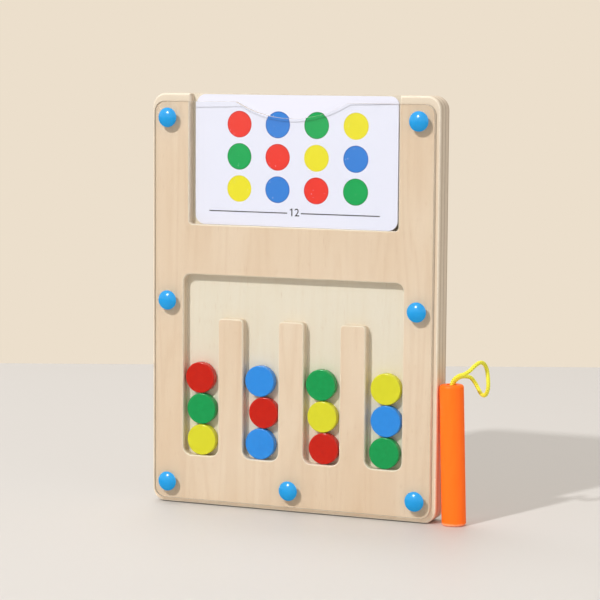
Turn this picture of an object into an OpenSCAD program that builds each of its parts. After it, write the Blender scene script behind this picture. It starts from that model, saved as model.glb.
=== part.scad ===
// Magnetic maze board: a wooden board with a maze cut into its front, twelve
// steel-cored discs behind a clear riveted cover, a pattern card in an open
// pocket, and a magnetic pen that draws the discs along their channels.
// Millimetres. The board stands on its bottom edge, +Z is up, the front faces -Y.

/* [Board] */
// Width of the wooden board
board_w = 154; // [147:1:200]
// Height of the wooden board
board_h = 210; // [196:1:260]
// Thickness of the front frame, which is also the depth of the maze
frame_t = 5; // [4.7:0.1:8]
// Thickness of the back board
back_t = 9; // [7:0.5:14]
// Radius of the board's four corners
board_corner_r = 7; // [3:0.5:12]
// Rounding of the board's outer front and back edges
board_edge_r = 1.2; // [0.4:0.1:2]

/* [Maze] */
// Height of the channel bottoms above the board's bottom edge
maze_z = 25.5; // [20:0.5:30]
// Width of one channel
channel_w = 19.5; // [17:0.5:20]
// Width of the fingers between the channels
finger_w = 13.5; // [8:0.5:14]
// Length of the channels, from their bottom to the fingers' tips
channel_l = 71; // [54:1:75]
// Height of the open hall above the fingers
hall_h = 22; // [18:1:28]
// Radius of the hall's upper corners
hall_corner_r = 4; // [1:0.5:5]
// Radius of the channels' bottom corners
channel_corner_r = 4.5; // [1:0.5:6]
// Radius of the fingers' tip corners
finger_tip_r = 2; // [0.5:0.1:3]

/* [Discs] */
// Diameter of a disc
disc_d = 15.8; // [12:0.1:16.5]
// Thickness of a disc
disc_t = 4; // [2.8:0.1:4.4]
// Rounding of a disc's rim
disc_rim_r = 0.6; // [0.3:0.1:1.3]
// Gap between stacked discs, and under the lowest one
disc_gap = 0.2; // [0.1:0.05:0.5]
// Diameter of the steel slug in a disc's back
slug_d = 9; // [5:0.5:11]
// Thickness of the steel slug
slug_t = 1.6; // [0.8:0.1:2]

/* [Cover] */
// Thickness of the clear cover
cover_t = 3; // [2:0.1:5]
// Strip of wood left bare beside the cover
cover_side_inset = 2.2; // [0.5:0.1:5]
// Strip of wood left bare above the cover
cover_top_inset = 3.9; // [1:0.1:6]
// Strip of wood left bare below the cover
cover_bottom_inset = 2.8; // [1:0.1:6]
// Radius of the cover's corners
cover_corner_r = 5.5; // [2:0.5:9]
// Width of the thumb notch over the card
notch_w = 59.5; // [30:0.5:90]
// Depth of the thumb notch
notch_depth = 8; // [4:0.5:14]

/* [Rivets] */
// Diameter of a rivet's domed head
rivet_head_d = 10; // [7:0.1:12]
// Height of the dome
rivet_head_h = 2.6; // [1.5:0.1:4]
// Diameter of the rivet's shank
rivet_shank_d = 4; // [3:0.1:5]
// Length of the shank inside the wood
rivet_grip = 9; // [9:0.5:11]
// Distance of the rivets from the board's sides
rivet_side = 10; // [8:0.5:11]
// Distance of the top rivets from the board's top edge
rivet_top = 12.2; // [10:0.1:20]
// Height of the middle rivets above the board's bottom edge
rivet_middle = 105; // [60:1:130]
// Height of the bottom rivets above the board's bottom edge
rivet_bottom = 11.4; // [9:0.1:14]

/* [Card] */
// Width of the pattern card
card_w = 110; // [90:0.5:120]
// Height of the pattern card
card_h = 65.5; // [50:0.5:70]
// Thickness of the pattern card
card_t = 1; // [0.4:0.1:2]
// Radius of the card's corners
card_corner_r = 5; // [1:0.5:10]
// Gap on the card's left, to the side of the pocket that it stands in
card_left_gap = 2; // [0.3:0.1:4]
// Gap on the card's right
card_right_gap = 0.4; // [0.3:0.1:4]
// Distance of the card's top edge below the board's
card_drop = 0.4; // [0:0.1:4]
// Radius of the pocket's bottom corners
pocket_corner_r = 2; // [0.5:0.5:4]

/* [Pen] */
// Diameter of the pen
pen_d = 12; // [10.5:0.5:16]
// Length of the pen
pen_l = 69.5; // [50:0.5:90]
// Rounding of the pen's upper end
pen_top_r = 1.4; // [0.5:0.1:2.5]
// Bevel round the pen's foot
pen_foot_bevel = 0.7; // [0.3:0.1:1.2]
// Gap at the foot between the pen and the board that it leans on
pen_gap = 2.4; // [0.6:0.1:6]
// Distance of the pen in front of the middle of the board's thickness
pen_forward = 3.5; // [0:0.5:5]
// Diameter of the pen's magnet
magnet_d = 8; // [5:0.5:8.5]
// Length of the pen's magnet
magnet_l = 10; // [5:0.5:20]
// Length of the plug that shuts the magnet in
plug_l = 2; // [1:0.1:4]
// Diameter of the hole that holds both ends of the cord
cord_hole_d = 5; // [4.8:0.1:6]
// Depth of the cord's hole
cord_hole_l = 9; // [8.8:0.2:14]
// Diameter of the cord
cord_d = 2.1; // [1.2:0.1:2.2]

/* [Hidden] */
$fn = 96;
columns = 4;
row_names = ["low", "mid", "top"];
rows = len(row_names);
through = 1;
fit_gap = 0.1;

front_y = -(frame_t + back_t) / 2;
floor_y = front_y + frame_t;
cover_y = front_y - cover_t;

maze_w = columns * channel_w + (columns - 1) * finger_w;
column_pitch = channel_w + finger_w;
hall_z = maze_z + channel_l;
cover_w = board_w - 2 * cover_side_inset;
cover_h = board_h - cover_top_inset - cover_bottom_inset;
pocket_w = card_w + card_left_gap + card_right_gap;
pocket_h = card_h + card_drop + fit_gap;
pocket_z = board_h - pocket_h;

// Discs are listed by column from the left, each from its lowest disc up. Each disc
// lies a little to one side of its channel: at -1 and 1 it is close to a wall.
disc_drift = [[0.1, 0, -0.5], [-0.3, 0.8, -0.5], [0.6, 0.1, -0.5], [0.1, 0.5, 0.4]];
disc_play = (channel_w - disc_d) / 2 - disc_gap;
disc_y = floor_y - 2 * fit_gap;
disc_colors = [
    ["gold", "seagreen", "firebrick"],
    ["dodgerblue", "firebrick", "dodgerblue"],
    ["firebrick", "gold", "seagreen"],
    ["seagreen", "dodgerblue", "gold"],
];
wood = [0.9, 0.8, 0.67];

rivet_hole_d = rivet_shank_d + 2 * fit_gap;
rivet_x = board_w / 2 - rivet_side;
rivet_places = [
    for (z = [rivet_bottom, rivet_middle, board_h - rivet_top], x = [-rivet_x, rivet_x]) [x, z],
    [0, rivet_bottom],
];

// The card leans across its pocket, from the floor on the left to the cover on the right
card_lean = asin((frame_t - card_t - 2 * fit_gap) / card_w);
card_place = [(card_left_gap - card_right_gap) / 2, (front_y + floor_y) / 2, pocket_z + fit_gap];

// The pen leans on the board's side
pen_lean = asin((pen_gap - 2 * fit_gap) / pen_l);
pen_foot = [board_w / 2 + pen_gap + pen_d / 2, -pen_forward, pen_d / 2 * sin(pen_lean)];
cord_sides = 8;
// Route of the cord's loop, from the middle of the pen's upper end
cord_route = [
    [0.2, -1.1, -8.5], [0.2, -1.1, -4.5], [0.3, -1.2, -0.8], [1.6, -1.4, 2.4], [4.3, -1.9, 4.5],
    [7.9, -3.4, 5.8], [10.6, -3.7, 7.5], [12.4, -2.8, 9.4], [13.9, -0.6, 10.8], [14.9, 1.6, 11],
    [15.7, 3.6, 10], [16.3, 5.2, 7.7], [16.7, 5.6, 4.9], [17.3, 4.5, 0.7], [17, 4.7, -2.5],
    [15.5, 6.4, -5.2], [13.6, 8.3, -6.1], [11.6, 10.2, -5.3], [9.6, 11.7, -2.7], [8.1, 11.3, 0.1],
    [6.6, 9, 2.6], [3.9, 4.6, 3.4], [1.6, 2.3, 2.1], [0.2, 1.2, -0.5], [-0.2, 1.1, -4.4],
    [-0.2, 1.1, -8.5],
];

// Outlines are drawn flat, x across and y up, then stood up facing the front.
module stand(back_y, t) {
    translate([0, back_y, 0]) rotate([90, 0, 0]) linear_extrude(t) children();
}

module rounded_rect(w, h, r) {
    translate([-w / 2 + r, 0]) square([w - 2 * r, h]);
    translate([-w / 2, r]) square([w, h - 2 * r]);
    for (x = [-w / 2 + r, w / 2 - r], y = [r, h - r]) translate([x, y]) circle(r);
}

// Section through a board's rim: square at the back, rounded at the front
module rim_section(reach, t) {
    square([reach - board_edge_r, t]);
    square([reach, t - board_edge_r]);
    translate([reach - board_edge_r, t - board_edge_r]) circle(board_edge_r);
}

// A lying board with rounded corners, whose upper edge is rounded all the way round
module soft_board(t) {
    r = board_corner_r;
    run_x = board_w - 2 * r;
    run_y = board_h - 2 * r;
    translate([0, board_h / 2, 0]) {
        for (end = [0, 1]) mirror([0, end, 0])
            translate([-run_x / 2, 0, 0]) rotate([90, 0, 90])
                linear_extrude(run_x) rim_section(board_h / 2, t);
        for (side = [0, 1]) mirror([side, 0, 0])
            translate([run_x / 2, run_y / 2, 0]) rotate([90, 0, 0])
                linear_extrude(run_y) rim_section(r, t);
        for (side = [0, 1], end = [0, 1]) mirror([side, 0, 0]) mirror([0, end, 0])
            translate([run_x / 2, run_y / 2, 0]) rotate_extrude(angle = 90) rim_section(r, t);
    }
}

module rivet_holes() {
    for (place = rivet_places) translate(place) circle(d = rivet_hole_d);
}

// The corner of wood that a rounded fingertip loses, for the tip's left corner
module tip_corner() {
    difference() {
        translate([0, -finger_tip_r]) square(finger_tip_r);
        translate([finger_tip_r, -finger_tip_r]) circle(finger_tip_r);
    }
}

function column_x(column) = (column - (columns - 1) / 2) * column_pitch;

// The maze's outline: four channels that open into one hall
module maze_outline() {
    overlap = hall_h / 2;
    for (column = [0 : columns - 1])
        translate([column_x(column), maze_z]) rounded_rect(channel_w, channel_l + overlap, channel_corner_r);
    translate([-maze_w / 2, hall_z]) square([maze_w, overlap]);
    translate([0, hall_z]) difference() {
        translate([0, -hall_corner_r]) rounded_rect(maze_w, hall_h + hall_corner_r, hall_corner_r);
        translate([-maze_w / 2 - through, -2 * hall_corner_r])
            square([maze_w + 2 * through, 2 * hall_corner_r]);
    }
    for (finger = [0 : columns - 2]) translate([(column_x(finger) + column_x(finger + 1)) / 2, hall_z]) {
        translate([-finger_w / 2, 0]) tip_corner();
        mirror([1, 0]) translate([-finger_w / 2, 0]) tip_corner();
    }
}

module back_board() {
    hole_l = rivet_grip - frame_t + fit_gap;
    color(wood) difference() {
        translate([0, floor_y, 0]) mirror([0, 1, 0]) rotate([90, 0, 0]) soft_board(back_t);
        stand(floor_y + hole_l, hole_l + through) rivet_holes();
    }
}

module front_frame() {
    color(wood) difference() {
        translate([0, floor_y, 0]) rotate([90, 0, 0]) soft_board(frame_t);
        stand(floor_y + through, frame_t + 2 * through) {
            maze_outline();
            rivet_holes();
            translate([0, pocket_z]) rounded_rect(pocket_w, 2 * pocket_h, pocket_corner_r);
        }
    }
}

module clear_cover() {
    notch_r = (pow(notch_w / 2, 2) + pow(notch_depth, 2)) / (2 * notch_depth);
    color([0.9, 0.95, 1, 0.3]) stand(front_y, cover_t) difference() {
        translate([0, cover_bottom_inset]) rounded_rect(cover_w, cover_h, cover_corner_r);
        rivet_holes();
        translate([0, board_h - cover_top_inset - notch_depth + notch_r]) circle(notch_r, $fn = 240);
    }
}

// A push rivet standing on its shank's tip side: the dome is up, its seat is at z = 0
module rivet() {
    dome_r = (pow(rivet_head_d / 2, 2) + pow(rivet_head_h, 2)) / (2 * rivet_head_h);
    shank_l = cover_t + rivet_grip;
    barb_l = 1.6;
    barbs = 3;
    rotate_extrude() {
        intersection() {
            translate([0, rivet_head_h - dome_r]) circle(dome_r);
            square([rivet_head_d, rivet_head_h]);
        }
        translate([0, -shank_l]) square([rivet_shank_d / 2 - fit_gap, shank_l]);
        for (barb = [0 : barbs - 1]) translate([0, -shank_l + barb * barb_l])
            polygon([[0, 0], [rivet_shank_d / 2 - 2 * fit_gap, 0], [rivet_shank_d / 2, barb_l], [0, barb_l]]);
    }
}

module cover_rivets() {
    color("dodgerblue") for (place = rivet_places)
        translate([place[0], cover_y, place[1]]) rotate([90, 0, 0]) rivet();
}

module pattern_card() {
    color("white") translate(card_place) rotate([0, 0, -card_lean])
        stand(card_t / 2, card_t) rounded_rect(card_w, card_h, card_corner_r);
}

// Puts its children at a disc's place, with z = 0 on the disc's back
module at_disc(column, row) {
    x = column_x(column) + disc_drift[column][row] * disc_play;
    z = maze_z + disc_gap + disc_d / 2 + row * (disc_d + disc_gap);
    translate([x, disc_y, z]) rotate([90, 0, 0]) children();
}

module disc(column, row) {
    color(disc_colors[column][row]) at_disc(column, row) difference() {
        rotate_extrude() {
            square([disc_d / 2 - disc_rim_r, disc_t]);
            translate([0, disc_rim_r]) square([disc_d / 2, disc_t - 2 * disc_rim_r]);
            for (y = [disc_rim_r, disc_t - disc_rim_r])
                translate([disc_d / 2 - disc_rim_r, y]) circle(disc_rim_r);
        }
        translate([0, 0, -through]) cylinder(d = slug_d, h = slug_t + through);
    }
}

module slug(column, row) {
    color("silver") at_disc(column, row) cylinder(d = slug_d, h = slug_t);
}

// Puts its children on the leaning pen's axis, with z = 0 at its foot
module at_pen() {
    translate(pen_foot) rotate([0, -pen_lean, 0]) children();
}

module pen_barrel() {
    pen_r = pen_d / 2;
    bore_l = plug_l + magnet_l;
    color("darkorange") at_pen() difference() {
        rotate_extrude() {
            translate([0, pen_foot_bevel]) square([pen_r, pen_l - pen_foot_bevel - pen_top_r]);
            square([pen_r - pen_top_r, pen_l]);
            translate([pen_r - pen_top_r, pen_l - pen_top_r]) circle(pen_top_r);
            polygon([[0, 0], [pen_r - pen_foot_bevel, 0], [pen_r, pen_foot_bevel], [0, pen_foot_bevel]]);
        }
        translate([0, 0, -through]) cylinder(d = magnet_d, h = bore_l + through);
        translate([0, 0, pen_l - cord_hole_l]) cylinder(d = cord_hole_d, h = cord_hole_l + through);
    }
}

module pen_magnet() {
    color("dimgray") at_pen() translate([0, 0, plug_l]) cylinder(d = magnet_d, h = magnet_l);
}

module pen_plug() {
    color("orange") at_pen() cylinder(d = magnet_d, h = plug_l);
}

// The cord's tube: rings of points round the route, each turned no more than the route turns
function unit(v) = v / norm(v);
function heading(i) =
    unit(cord_route[min(i + 1, len(cord_route) - 1)] - cord_route[max(i - 1, 0)]);
function square_to(v, axis) = unit(v - (v * axis) * axis);
function ring_side(i) = square_to(i == 0 ? [1, 0, 0] : ring_side(i - 1), heading(i));
function ring(i, side) = [
    for (a = [0 : cord_sides - 1])
        cord_route[i] + cord_d / 2 * (cos(a * 360 / cord_sides) * side
            + sin(a * 360 / cord_sides) * cross(heading(i), side))
];

module pen_cord() {
    last = len(cord_route) - 1;
    points = [for (i = [0 : last]) each ring(i, ring_side(i))];
    walls = [
        for (i = [0 : last - 1], a = [0 : cord_sides - 1])
            let (b = (a + 1) % cord_sides, here = i * cord_sides, next = here + cord_sides)
                [here + a, next + a, next + b, here + b]
    ];
    start = [for (a = [0 : cord_sides - 1]) a];
    end = [for (a = [cord_sides - 1 : -1 : 0]) last * cord_sides + a];
    color("gold") at_pen() translate([0, 0, pen_l]) polyhedron(points, concat(walls, [start, end]));
}

back_board();
front_frame();
clear_cover();
cover_rivets();
pattern_card();
for (column = [0 : columns - 1], row = [0 : rows - 1]) {
    place = str(column + 1, "_", row_names[row]);
    disc(column, row);
    slug(column, row);
}
pen_barrel();
pen_magnet();
pen_plug();
pen_cord();
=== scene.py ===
"""Magnetic maze board: finishes, rounded edges and the cord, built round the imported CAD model.

Metres, in the CAD model's own frame: the board stands on z = 0 and its front faces -Y.
"""

import math

import bmesh
import bpy
from mathutils import Matrix, Vector


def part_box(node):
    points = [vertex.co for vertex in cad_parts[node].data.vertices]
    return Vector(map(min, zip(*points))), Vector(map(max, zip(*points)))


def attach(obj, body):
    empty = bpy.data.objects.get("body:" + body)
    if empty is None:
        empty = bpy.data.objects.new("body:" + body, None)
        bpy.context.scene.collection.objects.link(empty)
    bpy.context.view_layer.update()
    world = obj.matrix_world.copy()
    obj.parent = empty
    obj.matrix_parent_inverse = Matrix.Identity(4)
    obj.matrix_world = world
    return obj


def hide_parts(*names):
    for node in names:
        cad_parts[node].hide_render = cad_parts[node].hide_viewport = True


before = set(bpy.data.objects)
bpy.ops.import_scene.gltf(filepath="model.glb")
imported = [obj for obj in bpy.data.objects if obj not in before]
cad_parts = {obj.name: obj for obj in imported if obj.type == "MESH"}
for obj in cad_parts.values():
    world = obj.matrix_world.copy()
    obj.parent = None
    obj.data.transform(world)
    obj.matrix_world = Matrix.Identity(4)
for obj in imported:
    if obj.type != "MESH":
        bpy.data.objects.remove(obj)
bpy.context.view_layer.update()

# Sizes, in metres
MM = 0.001
SAME_PLACE = 0.01 * MM
MERGE_GAP = 0.001 * MM
SHARP_ANGLE = math.radians(60)
FLAT_ANGLE = math.radians(0.5)
SMOOTH_ANGLE = math.radians(35)

FRAME_LOW, FRAME_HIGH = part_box("front_frame")
FRONT_Y = FRAME_LOW.y
FLOOR_Y = FRAME_HIGH.y
BACK_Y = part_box("back_board")[1].y
BOARD_HEIGHT = FRAME_HIGH.z
ROUND_OVER = 1.2 * MM
ROUND_OVER_STEPS = 6
OUTLINE_BAND = 3 * MM
OPENING_SOFTNESS = 0.7 * MM
OPENING_STEPS = 4
OPENINGS_HALF_WIDTH = 60 * MM
OPENINGS_BOTTOM = 20 * MM

COVER_LOW, COVER_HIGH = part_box("clear_cover")
COVER_CORNER = 5.5 * MM
COVER_EDGE = 0.3 * MM
COVER_EDGE_STEPS = 2
COVER_ARRIS = 0.5 * MM
COVER_AIR = 0.05 * MM

RIVETS_LOW, RIVETS_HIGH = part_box("cover_rivets")
RIVET_RADIUS = 5 * MM
RIVET_RIM = 0.7 * MM
RIVET_SOFTNESS = 0.35 * MM
RIVET_SOFT_STEPS = 4
RIVET_SMOOTH_ANGLE = math.radians(50)
RIVET_SEGMENTS, RIVET_RINGS = 64, 96
RIVET_SHANK_RADIUS = 1.9 * MM
HOLE_RADIUS = 2.1 * MM
HOLE_SEGMENTS = 48
RIVET_COLUMN = RIVETS_HIGH.x - RIVET_RADIUS
RIVET_BOTTOM = RIVETS_LOW.z + RIVET_RADIUS
RIVET_MIDDLE = 105 * MM
RIVET_TOP = RIVETS_HIGH.z - RIVET_RADIUS
RIVET_PLACES = [(0, RIVET_BOTTOM)] + [
    (x, z) for z in (RIVET_BOTTOM, RIVET_MIDDLE, RIVET_TOP) for x in (-RIVET_COLUMN, RIVET_COLUMN)
]

CARD_LOW, CARD_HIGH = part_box("pattern_card")
CARD_CENTRE = Vector(((CARD_LOW.x + CARD_HIGH.x) / 2, (FRONT_Y + FLOOR_Y) / 2, 0))
CARD_WIDTH = 110 * MM
CARD_THICKNESS = 1 * MM
CARD_CLEARANCE = 0.2 * MM
CARD_PLAY = FLOOR_Y - FRONT_Y - CARD_THICKNESS - CARD_CLEARANCE
CARD_LEAN = -math.asin(CARD_PLAY / CARD_WIDTH)
NUMBER_ASIDE, NUMBER_LINE = -0.1 * MM, 149.6 * MM
NUMBER_HEIGHT = 5.5 * MM
NUMBER_BOLDNESS = 0.03 * MM
NUMBER_DEPTH = 0.03 * MM
FLAG_ASIDE, FLAG_DOWN = 0.3 * MM, 0.55 * MM
FLAG_SIZE = (1.25 * MM, 0.42 * MM, 1.8 * NUMBER_DEPTH)
FLAG_SLOPE = math.radians(38)

PEN_LOW, PEN_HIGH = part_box("pen_barrel")
PEN_LENGTH = 69.5 * MM
PEN_RADIUS = 6 * MM
PEN_OVERHANG = 2.2 * MM
PEN_LEAN = math.asin(PEN_OVERHANG / PEN_LENGTH)
PEN_ASIDE = 85.4 * MM
PEN_FOOT = Vector((PEN_ASIDE, (PEN_LOW.y + PEN_HIGH.y) / 2, PEN_RADIUS * math.sin(PEN_LEAN)))

# The cord: one loop of braid with both ends in the pen's upper end. Its route, in millimetres from the
# middle of that end, is the one that the CAD model has.
CORD_DIAMETER = 2.1 * MM
CORD_ROUTE = [
    (0.2, -1.1, -8.5), (0.2, -1.1, -4.5), (0.3, -1.2, -0.8), (1.6, -1.4, 2.4), (4.3, -1.9, 4.5),
    (7.9, -3.4, 5.8), (10.6, -3.7, 7.5), (12.4, -2.8, 9.4), (13.9, -0.6, 10.8), (14.9, 1.6, 11),
    (15.7, 3.6, 10), (16.3, 5.2, 7.7), (16.7, 5.6, 4.9), (17.3, 4.5, 0.7), (17, 4.7, -2.5),
    (15.5, 6.4, -5.2), (13.6, 8.3, -6.1), (11.6, 10.2, -5.3), (9.6, 11.7, -2.7), (8.1, 11.3, 0.1),
    (6.6, 9, 2.6), (3.9, 4.6, 3.4), (1.6, 2.3, 2.1), (0.2, 1.2, -0.5), (-0.2, 1.1, -4.4),
    (-0.2, 1.1, -8.5),
]
CORD_MOUTH = 2
CORD_CURVE_STEPS = 60
CORD_SIDES = 36
CORD_RING_GAP = 0.1 * MM
BRAID_STRANDS = 3
BRAID_PITCH = 1.2 * MM
BRAID_RELIEF = 0.13 * MM

# The camera, as the photograph was taken, and the table in its view
PHOTO_SIDE = 600
FOCAL_PIXELS = 2177
SENSOR_WIDTH = 36
VIEW_YAW = math.radians(21.9)
VIEW_PITCH = math.radians(6.05)
VIEW_ROLL = math.radians(-0.40)
VIEW_DISTANCE = 1.0863
VIEW_TARGET = Vector((4.42 * MM, FRONT_Y, 107.92 * MM))
TABLE_START, TABLE_END, TABLE_WIDTH = -0.34, 0.542, 2.0


def srgb(red, green, blue):
    """A colour from 0 to 255, as a picture shows it, made linear for a shader."""
    def linear(level):
        share = level / 255
        return share / 12.92 if share <= 0.04045 else ((share + 0.055) / 1.055) ** 2.4

    return (linear(red), linear(green), linear(blue), 1.0)


# Shader nodes

class Wire:
    """An output of a node. Arithmetic on it adds Math nodes to the same tree."""

    def __init__(self, shading, socket):
        self.shading = shading
        self.socket = socket

    def __add__(self, other):
        return self.shading.math("ADD", self, other)

    def __sub__(self, other):
        return self.shading.math("SUBTRACT", self, other)

    def __rsub__(self, other):
        return self.shading.math("SUBTRACT", other, self)

    def __mul__(self, other):
        return self.shading.math("MULTIPLY", self, other)

    def __truediv__(self, other):
        return self.shading.math("DIVIDE", self, other)

    def __abs__(self):
        return self.shading.math("ABSOLUTE", self)

    __radd__ = __add__
    __rmul__ = __mul__

    def above(self, limit, blur):
        """A mask that is 1 where the value is over the limit and 0 below it, with an edge that wide."""
        return self.shading.math("ADD", (self - limit) / blur, 0.5, clamp=True)

    def most(self, other):
        return self.shading.math("MAXIMUM", self, other)


class Shading:
    """A node tree and the few ways in which nodes are added to it."""

    def __init__(self, tree):
        self.tree = tree

    def find(self, sockets, name):
        """The socket with that identifier, or with that name, its spaces written as underscores."""
        for socket in sockets:
            if socket.identifier == name:
                return socket
        return next(s for s in sockets if s.enabled and s.name == name.replace("_", " "))

    def feed(self, socket, value):
        if isinstance(value, Wire):
            self.tree.links.new(value.socket, socket)
        else:
            socket.default_value = value

    def node(self, kind, settings=None, out=None, **sockets):
        """Adds a node of that kind: first its settings, then the values or links of its sockets."""
        node = self.tree.nodes.new("ShaderNode" + kind)
        for name, value in (settings or {}).items():
            if name == "stops":
                self.set_stops(node.color_ramp.elements, value)
            else:
                setattr(node, name, value)
        for name, value in sockets.items():
            self.feed(self.find(node.inputs, name), value)
        if out:
            return Wire(self, self.find(node.outputs, out))
        return Wire(self, next(s for s in node.outputs if s.enabled))

    def set_stops(self, elements, stops):
        while len(elements) < len(stops):
            elements.new(1)
        for element, (place, colour) in zip(elements, stops):
            element.position = place
            element.color = colour

    def math(self, operation, first, second=0.0, clamp=False):
        settings = {"operation": operation, "use_clamp": clamp}
        return self.node("Math", settings, Value=first, Value_001=second)

    def mix(self, share, below, above):
        """The colour below, with the colour above laid over it by that share."""
        return self.node("Mix", {"data_type": "RGBA"}, Factor_Float=share, A_Color=below, B_Color=above)

    def along(self, axis, where):
        """One part of a vector: "X", "Y" or "Z"."""
        return self.node("SeparateXYZ", Vector=where, out=axis)

    def place(self, size=(MM, MM, MM), origin=(0, 0, 0), turn=(0, 0, 0)):
        """Object coordinates from an origin, turned, and measured in units of that size on each axis."""
        where = self.node("TexCoord", out="Object")
        settings = {"vector_type": "TEXTURE"}
        return self.node("Mapping", settings, Vector=where, Location=origin, Rotation=turn, Scale=size)

    def noise(self, size, detail=2.0, roughness=0.5, distortion=0.0, origin=(0, 0, 0)):
        """Noise whose features have that size along each axis, in millimetres."""
        where = self.place([side * MM for side in size], origin)
        return self.node(
            "TexNoise", Vector=where, Scale=1.0, Detail=detail, Roughness=roughness,
            Distortion=distortion,
        )


class Finish(Shading):
    """A material with a Principled shader, whose sockets are set by name."""

    def __init__(self, name, **constants):
        self.material = bpy.data.materials.new(name)
        self.material.use_nodes = True
        super().__init__(self.material.node_tree)
        self.shader = self.tree.nodes["Principled BSDF"]
        self.set(**constants)

    def set(self, **sockets):
        for name, value in sockets.items():
            self.feed(self.find(self.shader.inputs, name), value)

    def bump(self, height, depth, strength):
        """Relief of that depth, in millimetres."""
        self.set(Normal=self.node("Bump", Height=height, Distance=depth * MM, Strength=strength))


# Wood

def beyond_cover(wood):
    """How far a point of the board's front lies outside the cover's outline, in millimetres."""
    where = wood.place(origin=(0, 0, (COVER_LOW.z + COVER_HIGH.z) / 2))
    corner = COVER_CORNER / MM
    reach = (COVER_HIGH - COVER_LOW) / 2 / MM
    aside = (abs(wood.along("X", where)) - (reach.x - corner)).most(0)
    upward = (abs(wood.along("Z", where)) - (reach.z - corner)).most(0)
    return wood.math("SQRT", aside * aside + upward * upward) - corner


def pale_strip_and_top_light(wood):
    """Wood outside the cover is paler: a little all round, and more near the top as painted light."""
    top_band, all_round, painted_light_at_top, blur = 20, 0.2, 0.6, 0.4
    upper = wood.along("Z", wood.place()).above(BOARD_HEIGHT / MM - top_band, top_band)
    return beyond_cover(wood).above(0, blur) * (all_round + upper * painted_light_at_top)


def painted_foot_shadow(wood, tone):
    """Darkens the board's lowest edge, where it stands on the table: a painted contact shadow."""
    band, share, foot_shadow_tone = 0.5, 0.95, srgb(58, 45, 35)
    height = wood.along("Z", wood.place())
    return wood.mix((band - height).above(0, band) * share, tone, foot_shadow_tone)


def veneer(name, pale, warm, line_colour, line_share, bare=None):
    """Basswood veneer: fine upright grain, clouds of a warmer tone, thin growth lines and small flecks.

    With a bare colour: a paler strip outside the cover, painted light near the top, and a painted foot
    shadow.
    """
    growth_lines, line_slope, grain_share = 8, 4, 0.08
    fleck_share, fleck_colour = 0.25, srgb(188, 146, 106)
    wood = Finish(name)
    cloud = wood.noise((26, 26, 70), detail=3).above(0.5, 0.45)
    grain = wood.noise((1.1, 3, 36), detail=4, roughness=0.65)
    growth = wood.noise((17, 17, 210), detail=1, distortion=0.4)
    ring = wood.math("FRACT", growth * growth_lines)
    line = (1 - abs(ring - 0.5) * line_slope).above(0.4, 1.2)
    fleck = wood.noise((0.5, 0.5, 4), detail=0).above(0.74, 0.04)
    tone = wood.mix(cloud, pale, warm)
    tone = wood.mix(line * grain * line_share, tone, line_colour)
    tone = wood.mix(grain.above(0.6, 0.6) * grain_share, tone, line_colour)
    tone = wood.mix(fleck * fleck_share, tone, fleck_colour)
    if bare:
        # paler strip outside the cover; near the top the extra paleness is painted light
        tone = wood.mix(pale_strip_and_top_light(wood), tone, bare)
        # painted contact shadow along the board's foot
        tone = painted_foot_shadow(wood, tone)
    wood.set(Base_Color=tone, Roughness=0.5 + grain * 0.2)
    wood.bump(grain, depth=0.03, strength=0.5)
    return wood.material


def sawn_edge():
    """The sawn edge of the plywood: layers through the board's thickness, rough end grain and pores."""
    layers = [
        (0.00, srgb(246, 235, 216)), (0.10, srgb(239, 225, 205)), (0.20, srgb(208, 190, 167)),
        (0.30, srgb(234, 220, 200)), (0.48, srgb(236, 222, 202)), (0.53, srgb(188, 168, 145)),
        (0.58, srgb(232, 216, 195)), (0.80, srgb(234, 219, 199)), (0.87, srgb(204, 186, 163)),
        (1.00, srgb(232, 215, 195)),
    ]
    thickness = (BACK_Y - FRONT_Y) / MM
    wander, fibre_share, pore_share = 0.5, 0.3, 0.35
    edge = Finish("sawn_edge", Roughness=0.78)
    depth = edge.along("Y", edge.place(origin=(0, FRONT_Y, 0)))
    fibre = edge.noise((5, 0.5, 5), detail=4, roughness=0.7)
    pore = edge.noise((0.35, 0.35, 0.35), detail=2).above(0.64, 0.1)
    share = (depth + (fibre - 0.5) * wander) / thickness
    tone = edge.node("ValToRGB", {"stops": layers}, Fac=share)
    tone = edge.mix(fibre.above(0.6, 0.4) * fibre_share, tone, srgb(192, 170, 142))
    tone = edge.mix(pore * pore_share, tone, srgb(164, 138, 112))
    # the foot of the edge is darkened by a painted contact shadow
    edge.set(Base_Color=painted_foot_shadow(edge, tone))
    edge.bump(fibre - pore * 0.5, depth=0.06, strength=0.6)
    return edge.material


# Clear sheet

def open_to(sheet, rays):
    """Lets that share of the light through a finish."""
    mixed = sheet.node(
        "MixShader",
        Fac=rays,
        Shader=Wire(sheet, sheet.shader.outputs["BSDF"]),
        Shader_001=sheet.node("BsdfTransparent", Color=(1, 1, 1, 1)),
    )
    sheet.feed(sheet.tree.nodes["Material Output"].inputs["Surface"], mixed)


def let_light_in(sheet, share=1.0):
    """Opens a clear finish to the light that falls on the wood behind it."""
    from_lamps = sheet.node("LightPath", out="Is_Shadow_Ray")
    from_surfaces = sheet.node("LightPath", out="Is_Diffuse_Ray")
    open_to(sheet, from_lamps.most(from_surfaces) * share)


def clear_acrylic():
    """Clear sheet, which is glass to the eye."""
    sheet = Finish(
        "clear_acrylic", Base_Color=srgb(252, 254, 255), Transmission_Weight=1.0, IOR=1.49, Roughness=0.0
    )
    let_light_in(sheet)
    return sheet.material


def acrylic_edge(name, dark, pale, cover):
    """The sawn edge of the clear sheet: frosted, with fine saw marks, and as dense as its cover says."""
    edge = Finish(name, Specular_IOR_Level=0.4, Alpha=cover)
    streak = edge.noise((2.5, 0.2, 2.5), detail=3)
    edge.set(Base_Color=edge.mix(streak, dark, pale), Roughness=0.2 + streak * 0.2)
    edge.bump(streak, depth=0.02, strength=0.4)
    return edge


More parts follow.
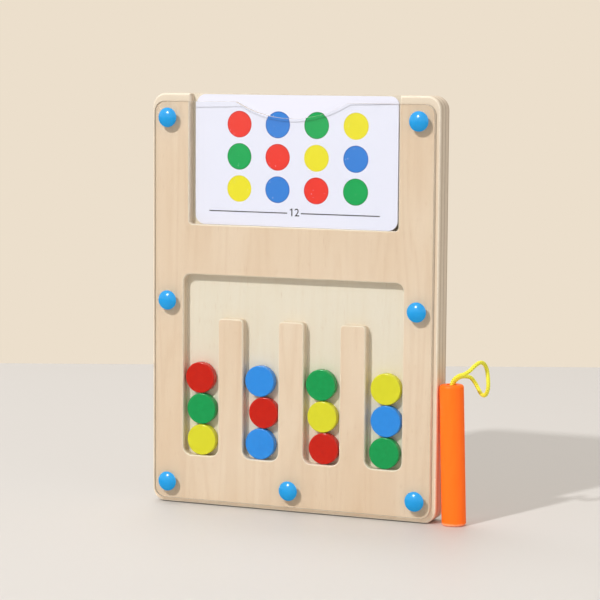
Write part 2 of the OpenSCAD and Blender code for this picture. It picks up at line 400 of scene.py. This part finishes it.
def cover_finishes():
    """The cover's finishes: clear faces, sides, arris on the wood, lip over the card, underside."""
    frost = srgb(190, 178, 160), srgb(214, 204, 189)
    # the arris and the lip take these dark tones as painted shade: the dark line where the sheet's edge
    # lies on the wood
    sawn = srgb(122, 112, 98), srgb(150, 140, 126)
    lip_clearness, underside_clearness = 0.85, 0.2
    side = acrylic_edge("acrylic_edge", *frost, cover=0.75)
    let_light_in(side)
    arris = acrylic_edge("acrylic_arris", *sawn, cover=0.9)
    lip = acrylic_edge("acrylic_lip", *sawn, cover=1.0)
    open_to(lip, lip.node("LightPath", out="Is_Camera_Ray") * lip_clearness)
    underside = acrylic_edge("acrylic_shaded_edge", *frost, cover=0.75)
    let_light_in(underside, underside_clearness)
    return [clear_acrylic(), side.material, arris.material, lip.material, underside.material]


# Card, paint, plastic, metal and cord

def printed_card():
    """White coated card with three rows of coloured dots, and a ruled line with a gap for the number.

    Sizes are in millimetres on the card's face.
    """
    dot_radius, dot_pitch, dots_middle = 6.66, (21.08, 16.15), (1.1, 178.7)
    pattern = ["RBGY", "GRYB", "YBRG"]
    inks = {
        "R": (srgb(240, 58, 46), srgb(176, 30, 34)),
        "B": (srgb(56, 131, 220), srgb(34, 84, 158)),
        "G": (srgb(16, 168, 86), srgb(8, 112, 60)),
        "Y": (srgb(239, 229, 44), srgb(226, 208, 44)),
    }
    ring_share, speck_share, ink_edge = 0.6, 0.6, 0.12
    rules, rule_height, rule_half = [(-47.2, -4.0), (3.4, 45.7)], 151.0, 0.28
    rule_share, rule_ink = 0.95, srgb(30, 27, 33)

    card = Finish("printed_card", Specular_IOR_Level=0.3)
    where = card.place(origin=CARD_CENTRE, turn=(0, 0, CARD_LEAN))
    across, depth, upward = (card.along(axis, where) for axis in "XYZ")
    front = (0 - depth).above(CARD_THICKNESS / MM / 4, 0.1)
    flat = card.node("CombineXYZ", X=across, Z=upward)
    fibre = card.noise((0.3, 0.3, 0.3), detail=3)
    speck = card.noise((0.7, 0.7, 0.7), detail=0, origin=(0.3, 0, 0)).above(0.85, 0.02)

    tone = card.mix(fibre.above(0.55, 0.6) * 0.2, srgb(237, 239, 255), srgb(231, 233, 250))
    for row, letters in enumerate(pattern):
        for column, letter in enumerate(letters):
            aside = dots_middle[0] + (column - 1.5) * dot_pitch[0]
            height = dots_middle[1] + (1 - row) * dot_pitch[1]
            settings = {"operation": "DISTANCE"}
            away = card.node(
                "VectorMath", settings, out="Value", Vector=flat, Vector_001=(aside, 0, height)
            )
            inked = (dot_radius - away).above(0, ink_edge) * front * (1 - speck * speck_share)
            ring = (away - dot_radius).above(-0.4, 0.5) * ring_share
            tone = card.mix(inked, tone, card.mix(ring, *inks[letter]))
    on_rule = (rule_half - abs(upward - rule_height)).above(0, ink_edge)
    for left, right in rules:
        middle, half = (left + right) / 2, (right - left) / 2
        within = (half - abs(across - middle)).above(0, ink_edge)
        tone = card.mix(on_rule * within * front * rule_share, tone, rule_ink)
    card.set(Base_Color=tone, Roughness=0.42 + fibre * 0.12)
    card.bump(fibre, depth=0.01, strength=0.4)
    return card.material


def plain_ink():
    """Dark print of the card's number."""
    ink = Finish("plain_ink", Roughness=0.5)
    mottle = ink.noise((0.3, 0.3, 0.3), detail=2)
    ink.set(Base_Color=ink.mix(mottle, srgb(26, 23, 29), srgb(40, 36, 43)))
    return ink.material


def moulded_blue():
    """Glossy moulded plastic with a slightly wavy skin."""
    plastic = Finish("moulded_blue", Specular_IOR_Level=0.5)
    cloud = plastic.noise((4, 4, 4), detail=2)
    skin = plastic.noise((0.8, 0.8, 0.8), detail=2)
    tone = plastic.mix(cloud, srgb(24, 153, 230), srgb(44, 170, 240))
    plastic.set(Base_Color=tone, Roughness=0.16 + skin * 0.1)
    plastic.bump(cloud, depth=0.05, strength=0.3)
    return plastic.material


def disc_paint(name, colour, deep):
    """Thick glossy paint on turned wood: faint grain under it, clouds of a deeper tone, small dents."""
    cloud_share, grain_share, dent_share = 0.6, 0.15, 0.2
    paint = Finish(name, Specular_IOR_Level=0.45)
    cloud = paint.noise((3, 3, 3), detail=3)
    grain = paint.noise((0.6, 2, 9), detail=3, roughness=0.6)
    dent = paint.noise((1.4, 1.4, 1.4), detail=1).above(0.7, 0.12)
    tone = paint.mix(cloud.above(0.5, 0.7) * cloud_share + grain * grain_share, colour, deep)
    tone = paint.mix(dent * dent_share, tone, deep)
    paint.set(Base_Color=tone, Roughness=0.1 + cloud * 0.14)
    paint.bump(grain * 0.4 + cloud * 0.6 - dent * 0.7, depth=0.05, strength=0.6)
    return paint.material


def pen_paint(name, worn):
    """Orange paint on a dowel with a faint red glow of painted light: lengthwise grain, and a foot worn
    up to that height.
    """
    grain_share, chip_share = 0.2, 0.9
    # the red emission is painted light: it keeps the paint bright red on its shaded side
    paint = Finish(
        name, Specular_IOR_Level=0.35, Emission_Color=srgb(255, 30, 0), Emission_Strength=0.2
    )
    cloud = paint.noise((5, 5, 14), detail=2)
    grain = paint.noise((0.7, 0.7, 22), detail=3, roughness=0.6)
    chip = paint.noise((0.9, 0.9, 0.6), detail=2).above(0.45, 0.1)
    rim = 1 - paint.along("Z", paint.place()).above(worn, worn)
    tone = paint.mix(cloud, srgb(255, 115, 8), srgb(255, 128, 19))
    tone = paint.mix(grain.above(0.64, 0.3) * grain_share, tone, srgb(246, 94, 6))
    tone = paint.mix(chip * rim * chip_share, tone, srgb(255, 205, 160))
    paint.set(Base_Color=tone, Roughness=0.36 + cloud * 0.14)
    paint.bump(grain + cloud * 0.6, depth=0.05, strength=0.6)
    return paint.material


def turned_steel():
    """Bare steel of the slugs, finely scratched."""
    steel = Finish("turned_steel", Metallic=1.0)
    scratch = steel.noise((0.2, 0.2, 0.2), detail=3)
    tone = steel.mix(scratch, srgb(176, 178, 182), srgb(206, 208, 212))
    steel.set(Base_Color=tone, Roughness=0.3 + scratch * 0.2)
    steel.bump(scratch, depth=0.01, strength=0.5)
    return steel.material


def plated_magnet():
    """Nickel plate on the pen's magnet."""
    plate = Finish("plated_magnet", Metallic=1.0)
    cloud = plate.noise((1.5, 1.5, 1.5), detail=3)
    tone = plate.mix(cloud, srgb(196, 192, 184), srgb(222, 219, 212))
    plate.set(Base_Color=tone, Roughness=0.14 + cloud * 0.14)
    plate.bump(cloud, depth=0.01, strength=0.4)
    return plate.material


def braid_yellow():
    """Shiny yellow filament: pale on the strands' backs, darker where they dive under each other as
    painted shade.
    """
    fibres_per_metre, fibre_share = 240.0, 0.2
    cord = Finish("braid_yellow", Sheen_Weight=0.3, Sheen_Roughness=0.4)
    lift = cord.node("Attribute", {"attribute_name": "braid"}, out="Fac")
    where = cord.node("UVMap", {"uv_map": "braid_uv"})
    fibre = cord.node("TexNoise", Vector=where, Scale=fibres_per_metre, Detail=2.0)
    # deeper tone in the grooves between the strands: painted shade
    tone = cord.mix(lift.above(0.22, 0.36), srgb(178, 163, 8), srgb(255, 254, 60))
    tone = cord.mix(fibre.above(0.6, 0.4) * fibre_share, tone, srgb(255, 250, 110))
    cord.set(Base_Color=tone, Roughness=0.42 + fibre * 0.2)
    cord.bump(fibre, depth=0.03, strength=0.4)
    return cord.material


# Modelling by hand

def only(piece):
    """Makes one object the only selected one, and the active one."""
    bpy.ops.object.select_all(action="DESELECT")
    piece.select_set(True)
    bpy.context.view_layer.objects.active = piece


def join(pieces, name):
    """Makes several pieces one, with its origin at the model's own."""
    only(pieces[0])
    for piece in pieces:
        piece.select_set(True)
    bpy.ops.object.join()
    bpy.ops.object.transform_apply()
    pieces[0].name = name
    return pieces[0]


def copy_of(node, name):
    """A copy of a CAD node as a new piece, in edit mode, its loose triangles merged."""
    piece = bpy.data.objects.new(name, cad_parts[node].data.copy())
    bpy.context.scene.collection.objects.link(piece)
    piece.data.materials.clear()
    only(piece)
    bpy.ops.object.mode_set(mode="EDIT")
    bpy.ops.mesh.select_all(action="SELECT")
    bpy.ops.mesh.customdata_custom_splitnormals_clear()
    bpy.ops.mesh.remove_doubles(threshold=MERGE_GAP)
    return piece


def merge_flat_faces():
    """Joins the coplanar faces of the piece in edit mode."""
    bpy.ops.mesh.select_all(action="SELECT")
    bpy.ops.mesh.dissolve_limited(angle_limit=FLAT_ANGLE)


def pick(piece, kind, test):
    """Selects what passes the test: the "verts", "edges" or "faces" of the piece in edit mode."""
    modes = {"verts": "VERT", "edges": "EDGE", "faces": "FACE"}
    bpy.ops.mesh.select_mode(type=modes[kind])
    bpy.ops.mesh.select_all(action="DESELECT")
    shape = bmesh.from_edit_mesh(piece.data)
    for part in getattr(shape, kind):
        part.select_set(bool(test(part)))
    shape.select_flush_mode()
    bmesh.update_edit_mesh(piece.data)


def at_depth(y):
    """A test for what lies wholly in an upright plane."""
    return lambda part: all(abs(v.co.y - y) < SAME_PLACE for v in part.verts)


def is_sharp(edge):
    return len(edge.link_faces) == 2 and edge.calc_face_angle() > SHARP_ANGLE


def leave_smooth(piece, angle=SMOOTH_ANGLE):
    """Ends the modelling: faces point outwards, curved ones are smooth and flat ones stay flat."""
    bpy.ops.mesh.select_all(action="SELECT")
    bpy.ops.mesh.normals_make_consistent(inside=False)
    bpy.ops.object.mode_set(mode="OBJECT")
    only(piece)
    bpy.ops.object.shade_smooth_by_angle(angle=angle)
    flat = piece.modifiers.new("flat_faces", "WEIGHTED_NORMAL")
    flat.weight = 100
    flat.keep_sharp = True
    bpy.ops.object.modifier_apply(modifier=flat.name)


def paint_faces(piece, materials, choose):
    """Gives each face the material whose place in the list choose(face) returns."""
    for material in materials:
        piece.data.materials.append(material)
    for face in piece.data.polygons:
        face.material_index = choose(face)


def finish_node(node, material):
    """Gives a CAD node that stays in view its finish."""
    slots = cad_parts[node].data.materials
    slots.clear()
    slots.append(material)


# The board and its cover

def fill_holes(piece):
    """Closes the rivets' holes in the piece in edit mode, so that its faces are whole."""
    def in_a_hole(face):
        return any(
            all(math.hypot(v.co.x - x, v.co.z - z) < RIVET_RADIUS for v in face.verts)
            for x, z in RIVET_PLACES
        )

    pick(piece, "faces", in_a_hole)
    bpy.ops.mesh.delete(type="FACE")
    bpy.ops.mesh.select_all(action="SELECT")
    bpy.ops.mesh.fill_holes(sides=0)


def drill_holes(piece):
    """Cuts the rivets' holes through a finished piece, and leaves it in edit mode."""
    bpy.ops.object.mode_set(mode="OBJECT")
    drills = []
    for x, z in RIVET_PLACES:
        bpy.ops.mesh.primitive_cylinder_add(
            vertices=HOLE_SEGMENTS, radius=HOLE_RADIUS, depth=BACK_Y - COVER_LOW.y,
            location=(x, COVER_LOW.y, z), rotation=(math.pi / 2, 0, 0),
        )
        drills.append(bpy.context.active_object)
    cutter = join(drills, "drill")
    cut = piece.modifiers.new("holes", "BOOLEAN")
    cut.operation = "DIFFERENCE"
    cut.object = cutter
    only(piece)
    bpy.ops.object.modifier_apply(modifier=cut.name)
    bpy.data.objects.remove(cutter)
    bpy.ops.object.mode_set(mode="EDIT")


def in_an_opening(edge):
    """True for an edge of the maze or the pocket, and not for one of a rivet's hole."""
    return all(abs(v.co.x) < OPENINGS_HALF_WIDTH and v.co.z > OPENINGS_BOTTOM for v in edge.verts)


def on_the_outline(edge):
    """True for an edge near the board's outer sides."""
    def inset(place):
        return min(
            place.z - FRAME_LOW.z, FRAME_HIGH.z - place.z, place.x - FRAME_LOW.x, FRAME_HIGH.x - place.x
        )

    return all(inset(v.co) < OUTLINE_BAND for v in edge.verts)


def board_front(face_wood, edge_wood):
    """The front frame: its square back outline drawn out again, then rounded over at the front."""
    least_facing = 0.95
    piece = copy_of("front_frame", "board_front")
    pick(piece, "faces", lambda face: not at_depth(FLOOR_Y)(face))
    bpy.ops.mesh.delete(type="FACE")
    merge_flat_faces()
    bpy.ops.mesh.select_all(action="SELECT")
    bpy.ops.mesh.extrude_region_move(TRANSFORM_OT_translate={"value": (0, FRONT_Y - FLOOR_Y, 0)})
    bpy.ops.mesh.select_all(action="SELECT")
    bpy.ops.mesh.normals_make_consistent(inside=False)
    fill_holes(piece)
    merge_flat_faces()
    pick(piece, "edges", lambda e: at_depth(FRONT_Y)(e) and is_sharp(e) and on_the_outline(e))
    bpy.ops.mesh.bevel(
        offset=ROUND_OVER, segments=ROUND_OVER_STEPS, affect="EDGES",
        clamp_overlap=False, loop_slide=False,
    )
    pick(piece, "edges", lambda e: not at_depth(FLOOR_Y)(e) and is_sharp(e) and in_an_opening(e))
    bpy.ops.mesh.bevel(
        offset=OPENING_SOFTNESS, segments=OPENING_STEPS, affect="EDGES",
        clamp_overlap=False, loop_slide=False,
    )
    drill_holes(piece)
    leave_smooth(piece)
    paint_faces(piece, [face_wood, edge_wood], lambda face: int(abs(face.normal.y) < least_facing))
    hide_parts("front_frame")
    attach(piece, "board")


def board_back(floor_wood, edge_wood, back_wood):
    """The back board, whose front is the floor of the maze and of the pocket."""
    floor, edge, back = range(3)
    least_facing = 0.5
    piece = copy_of("back_board", "board_back")
    merge_flat_faces()
    leave_smooth(piece)

    def choose(face):
        if abs(face.normal.y) < least_facing:
            return edge
        return floor if face.normal.y < 0 else back

    paint_faces(piece, [floor_wood, edge_wood, back_wood], choose)
    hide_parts("back_board")
    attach(piece, "board")


def cover_sheet():
    """The clear cover: eased, frosted edges, and a hair of air so that no faces share a plane."""
    clear, side, arris, lip, underside = range(5)
    least_facing, least_downward = 0.9, 0.3
    arris_y = COVER_HIGH.y - COVER_AIR - COVER_ARRIS
    piece = copy_of("clear_cover", "cover_sheet")
    fill_holes(piece)
    merge_flat_faces()
    pick(piece, "verts", lambda vert: abs(vert.co.y - COVER_HIGH.y) < SAME_PLACE)
    bpy.ops.transform.translate(value=(0, -COVER_AIR, 0))
    pick(piece, "edges", lambda e: at_depth(COVER_LOW.y)(e) and is_sharp(e))
    bpy.ops.mesh.bevel(offset=COVER_EDGE, segments=COVER_EDGE_STEPS, affect="EDGES", loop_slide=False)
    drill_holes(piece)
    bpy.ops.mesh.select_all(action="SELECT")
    bpy.ops.mesh.bisect(plane_co=(0, arris_y, 0), plane_no=(0, 1, 0))
    leave_smooth(piece)

    def choose(face):
        if abs(face.normal.y) > least_facing:
            return clear
        over_card = face.center.z > CARD_LOW.z and abs(face.center.x) < OPENINGS_HALF_WIDTH
        if face.center.y > arris_y:
            return lip if over_card else arris
        return underside if -face.normal.z > least_downward else side

    paint_faces(piece, cover_finishes(), choose)
    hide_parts("clear_cover")
    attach(piece, "board")


def rivet_head(place):
    """One push rivet: the cap of a sphere on a low rim, and a shank behind it."""
    seat = COVER_LOW.y
    reach = seat - RIVETS_LOW.y
    dome = reach - RIVET_RIM
    sphere_radius = (RIVET_RADIUS**2 + dome**2) / (2 * dome)
    bpy.ops.mesh.primitive_uv_sphere_add(
        segments=RIVET_SEGMENTS, ring_count=RIVET_RINGS, radius=sphere_radius,
        location=(place[0], seat - reach + sphere_radius, place[1]), rotation=(math.pi / 2, 0, 0),
    )
    piece = bpy.context.active_object
    bpy.ops.object.transform_apply()
    bpy.ops.object.mode_set(mode="EDIT")
    bpy.ops.mesh.select_all(action="SELECT")
    bpy.ops.mesh.bisect(
        plane_co=(0, seat - RIVET_RIM, 0), plane_no=(0, 1, 0), clear_outer=True, use_fill=True
    )
    pick(piece, "faces", at_depth(seat - RIVET_RIM))
    bpy.ops.mesh.extrude_region_move(TRANSFORM_OT_translate={"value": (0, RIVET_RIM, 0)})
    bpy.ops.mesh.inset(thickness=RIVET_RADIUS - RIVET_SHANK_RADIUS)
    bpy.ops.mesh.extrude_region_move(TRANSFORM_OT_translate={"value": (0, RIVETS_HIGH.y - seat, 0)})
    pick(piece, "edges", at_depth(seat - RIVET_RIM))
    bpy.ops.mesh.bevel(offset=RIVET_SOFTNESS, segments=RIVET_SOFT_STEPS, affect="EDGES")
    leave_smooth(piece, RIVET_SMOOTH_ANGLE)
    return piece


def push_rivets():
    """Seven rivets: two columns of three, and one in the middle of the bottom row."""
    piece = join([rivet_head(place) for place in RIVET_PLACES], "push_rivets")
    piece.data.materials.append(moulded_blue())
    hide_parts("cover_rivets")
    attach(piece, "board")


def card_number():
    """The plain number between the card's two rules, as thin print, with a flag on its first digit."""
    bpy.ops.object.text_add()
    text = bpy.context.active_object.data
    text.body = "12"
    text.size = NUMBER_HEIGHT
    text.offset = NUMBER_BOLDNESS
    text.align_x = "CENTER"
    text.extrude = NUMBER_DEPTH
    bpy.ops.object.convert(target="MESH")
    digits = bpy.context.active_object
    left, top = min(c[0] for c in digits.bound_box), max(c[1] for c in digits.bound_box)
    bpy.ops.mesh.primitive_cube_add(
        size=1, location=(left - FLAG_ASIDE, top - FLAG_DOWN, 0), rotation=(0, 0, FLAG_SLOPE),
        scale=FLAG_SIZE,
    )
    piece = join([digits, bpy.context.active_object], "card_number")
    on_card = Vector((NUMBER_ASIDE, -CARD_THICKNESS / 2, NUMBER_LINE))
    lean = Matrix.Translation(CARD_CENTRE) @ Matrix.Rotation(CARD_LEAN, 4, "Z")
    piece.matrix_world = lean @ Matrix.Translation(on_card) @ Matrix.Rotation(math.pi / 2, 4, "X")
    only(piece)
    bpy.ops.object.transform_apply()
    bpy.ops.object.mode_set(mode="EDIT")
    bpy.ops.mesh.select_all(action="SELECT")
    bpy.ops.mesh.remove_doubles(threshold=MERGE_GAP)
    bpy.ops.object.mode_set(mode="OBJECT")
    piece.data.materials.append(plain_ink())
    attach(piece, "card")


# The cord

def pen_end():
    """From the middle of the leaning pen's upper end to the model's frame."""
    return (
        Matrix.Translation(PEN_FOOT)
        @ Matrix.Rotation(-PEN_LEAN, 4, "Y")
        @ Matrix.Translation((0, 0, PEN_LENGTH))
    )


def smooth_line(points, gap):
    """Points that far apart on one smooth curve through the given ones."""
    ends = [points[0] * 2 - points[1], *points, points[-1] * 2 - points[-2]]
    fine = []
    for before, start, end, after in zip(ends, ends[1:], ends[2:], ends[3:]):
        leave, arrive = (end - before) / 2, (after - start) / 2
        for step in range(CORD_CURVE_STEPS):
            t = step / CORD_CURVE_STEPS
            fine.append(
                start * (2 * t**3 - 3 * t**2 + 1) + leave * (t**3 - 2 * t**2 + t)
                + end * (3 * t**2 - 2 * t**3) + arrive * (t**3 - t**2)
            )
    fine.append(points[-1])
    lengths = [(b - a).length for a, b in zip(fine, fine[1:])]
    total = sum(lengths)
    count = round(total / gap)
    line, index, walked = [], 0, 0.0
    for number in range(count):
        goal = total * number / count
        while walked + lengths[index] < goal:
            walked += lengths[index]
            index += 1
        line.append(fine[index].lerp(fine[index + 1], (goal - walked) / lengths[index]))
    line.append(points[-1])
    return line


def braid_lift(around, along):
    """How far a braid's surface stands up, 0 to 1, at a turn round the cord and a distance along it."""
    right = BRAID_STRANDS * around + along / BRAID_PITCH
    left = BRAID_STRANDS * around - along / BRAID_PITCH
    near_right, near_left = round(right), round(left)
    turn = (near_right + near_left) % 2
    over = (1 + math.cos(math.pi * (left - near_left)) * (1 if turn == 0 else -1)) / 2
    under = (1 + math.cos(math.pi * (right - near_right)) * (1 if turn == 1 else -1)) / 2
    back_right = math.cos(math.pi * (right - near_right)) ** 2
    back_left = math.cos(math.pi * (left - near_left)) ** 2
    return max(back_right * over, back_left * under)


def braid_points(line):
    """The braid's points, ring by ring along a line, and how far each stands up.

    A ring is turned no more than the line turns.
    """
    last = len(line) - 1
    side = Vector((1, 0, 0))
    points, lifts = [], []
    for number, centre in enumerate(line):
        heading = (line[min(number + 1, last)] - line[max(number - 1, 0)]).normalized()
        side = (side - heading * side.dot(heading)).normalized()
        across = heading.cross(side)
        for corner in range(CORD_SIDES):
            around = corner / CORD_SIDES
            lift = braid_lift(around, number * CORD_RING_GAP)
            radius = CORD_DIAMETER / 2 - BRAID_RELIEF * (1 - lift)
            angle = around * math.tau
            points.append(centre + (side * math.cos(angle) + across * math.sin(angle)) * radius)
            lifts.append(lift)
    return points, lifts


def braid_faces(rings):
    """The faces between that many rings and over both ends, with their places on the unrolled skin."""
    girth = math.pi * CORD_DIAMETER
    step = 1 / CORD_SIDES
    faces, places = [], []
    for number in range(rings - 1):
        here, ahead = number * CORD_SIDES, (number + 1) * CORD_SIDES
        low, high = number * CORD_RING_GAP, (number + 1) * CORD_RING_GAP
        for corner in range(CORD_SIDES):
            beside = (corner + 1) % CORD_SIDES
            faces.append((here + corner, here + beside, ahead + beside, ahead + corner))
            start, end = corner / CORD_SIDES * girth, (corner / CORD_SIDES + step) * girth
            places += [(start, low), (end, low), (end, high), (start, high)]
    first_ring = range(CORD_SIDES - 1, -1, -1)
    last_ring = range((rings - 1) * CORD_SIDES, rings * CORD_SIDES)
    for ring in (first_ring, last_ring):
        faces.append(tuple(ring))
        places += [(0, 0)] * CORD_SIDES
    return faces, places


def pen_cord():
    """The braided loop in the pen's upper end."""
    to_frame = pen_end()
    route = [to_frame @ (Vector(point) * MM) for point in CORD_ROUTE]
    line = smooth_line(route, CORD_RING_GAP)
    points, lifts = braid_points(line)
    faces, places = braid_faces(len(line))
    mesh = bpy.data.meshes.new("pen_loop")
    mesh.from_pydata(points, [], faces)
    # the braid attribute also carries the painted shade of the grooves into the cord's finish
    mesh.attributes.new("braid", "FLOAT", "POINT").data.foreach_set("value", lifts)
    layer = mesh.uv_layers.new(name="braid_uv")
    for loop, place in zip(layer.data, places):
        loop.uv = place
    piece = bpy.data.objects.new("pen_loop", mesh)
    bpy.context.scene.collection.objects.link(piece)
    only(piece)
    bpy.ops.object.shade_smooth()
    piece.data.materials.append(braid_yellow())
    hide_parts("pen_cord")
    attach(piece, "pen")
    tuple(route[CORD_MOUTH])


# Camera, light and floor

def photo_camera():
    bpy.ops.object.camera_add()
    camera = bpy.context.active_object
    camera.data.sensor_width = SENSOR_WIDTH
    camera.data.lens = FOCAL_PIXELS / PHOTO_SIDE * SENSOR_WIDTH
    camera.matrix_world = (
        Matrix.Translation(VIEW_TARGET)
        @ Matrix.Rotation(VIEW_YAW, 4, "Z")
        @ Matrix.Rotation(math.pi / 2 - VIEW_PITCH, 4, "X")
        @ Matrix.Rotation(-VIEW_ROLL, 4, "Z")
        @ Matrix.Translation((0, 0, VIEW_DISTANCE))
    )
    bpy.context.scene.camera = camera


def soft_lamp(name, toward, distance, side, watts, colour):
    """A square lamp in that direction from the board's middle, aimed at it."""
    aim = Vector((0, 0, BOARD_HEIGHT / 2))
    direction = Vector(toward).normalized()
    bpy.ops.object.light_add(type="AREA", location=aim + direction * distance)
    lamp = bpy.context.active_object
    lamp.name = name
    lamp.rotation_euler = direction.to_track_quat("Z", "Y").to_euler()
    lamp.data.size = side
    lamp.data.energy = watts
    lamp.data.color = colour


def studio_room():
    """An even pale room, and a plain beige backdrop for the eye. Reflections show it above the table."""
    pale, beige, dusk = srgb(255, 250, 244), srgb(236, 223, 204), srgb(70, 64, 57)
    room_light, horizon_blur = 0.48, 0.1
    world = bpy.data.worlds.new("studio_room")
    world.use_nodes = True
    bpy.context.scene.world = world
    room = Shading(world.node_tree)
    seen = room.node("LightPath", out="Is_Camera_Ray")
    mirrored = room.node("LightPath", out="Is_Glossy_Ray")
    through = room.node("LightPath", out="Is_Transmission_Ray")
    upward = room.along("Z", room.node("TexCoord", out="Generated"))
    backdrop = room.mix(upward.above(0, horizon_blur).most(seen), dusk, beige)
    mixed = room.node(
        "MixShader",
        Fac=seen.most(mirrored).most(through),
        Shader=room.node("Background", Color=pale, Strength=room_light),
        Shader_001=room.node("Background", Color=backdrop, Strength=1.0),
    )
    room.feed(world.node_tree.nodes["World Output"].inputs["Surface"], mixed)


def table_top():
    """A plain pale table, square to the view, that ends a little behind the board."""
    bpy.ops.mesh.primitive_plane_add(size=1)
    table = bpy.context.active_object
    table.name = "table_top"
    table.matrix_world = (
        Matrix.Rotation(VIEW_YAW, 4, "Z")
        @ Matrix.Translation((0, (TABLE_END + TABLE_START) / 2, 0))
        @ Matrix.Diagonal((TABLE_WIDTH, TABLE_END - TABLE_START, 1, 1))
    )
    pale = Finish("table_pale", Base_Color=srgb(212, 210, 208), Roughness=0.55)
    table.data.materials.append(pale.material)
    table.visible_glossy = False
    table.visible_transmission = False


bpy.context.scene.view_settings.view_transform = "Standard"
photo_camera()
studio_room()
table_top()
soft_lamp(
    "window", toward=(-0.36, -1.0, 0.8), distance=4.0, side=0.16, watts=102, colour=(1.0, 0.985, 0.965)
)
soft_lamp(
    "overhead", toward=(-0.25, 0.25, 1.0), distance=3.4, side=1.6, watts=38, colour=(1.0, 0.98, 0.96)
)
soft_lamp(
    "fill", toward=(0.9, -0.35, 0.35), distance=2.0, side=1.4, watts=4.2, colour=(1.0, 0.92, 0.82)
)

# The pieces

wood_face = veneer(
    "wood_face", pale=srgb(234, 214, 189), warm=srgb(226, 201, 172), line_colour=srgb(202, 162, 124),
    line_share=0.25, bare=srgb(230, 218, 198),
)
wood_floor = veneer(
    "wood_floor", pale=srgb(233, 225, 207), warm=srgb(230, 221, 201), line_colour=srgb(214, 192, 156),
    line_share=0.15,
)
wood_back = veneer(
    "wood_back", pale=srgb(232, 211, 182), warm=srgb(224, 198, 164), line_colour=srgb(200, 154, 110),
    line_share=0.45,
)
wood_edge = sawn_edge()
steel = turned_steel()
disc_paints = {
    "red": disc_paint("paint_red", srgb(212, 38, 22), srgb(190, 24, 14)),
    "green": disc_paint("paint_green", srgb(28, 167, 90), srgb(14, 144, 72)),
    "yellow": disc_paint("paint_yellow", srgb(229, 227, 52), srgb(214, 210, 36)),
    "blue": disc_paint("paint_blue", srgb(54, 152, 241), srgb(40, 132, 224)),
}
disc_rows = ("low", "mid", "top")
disc_columns = [
    ("yellow", "green", "red"),
    ("blue", "red", "blue"),
    ("red", "yellow", "green"),
    ("green", "blue", "yellow"),
]

pen_cord()
board_front(wood_face, wood_edge)
board_back(wood_floor, wood_edge, wood_back)
cover_sheet()
push_rivets()
card_number()
finish_node("pattern_card", printed_card())
for column, colours in enumerate(disc_columns, 1):
    for row, colour in zip(disc_rows, colours):
        finish_node(f"disc_{column}_{row}", disc_paints[colour])
        finish_node(f"slug_{column}_{row}", steel)
finish_node("pen_barrel", pen_paint("pen_orange", worn=1.2))
finish_node("pen_plug", pen_paint("plug_orange", worn=0.3))
finish_node("pen_magnet", plated_magnet())
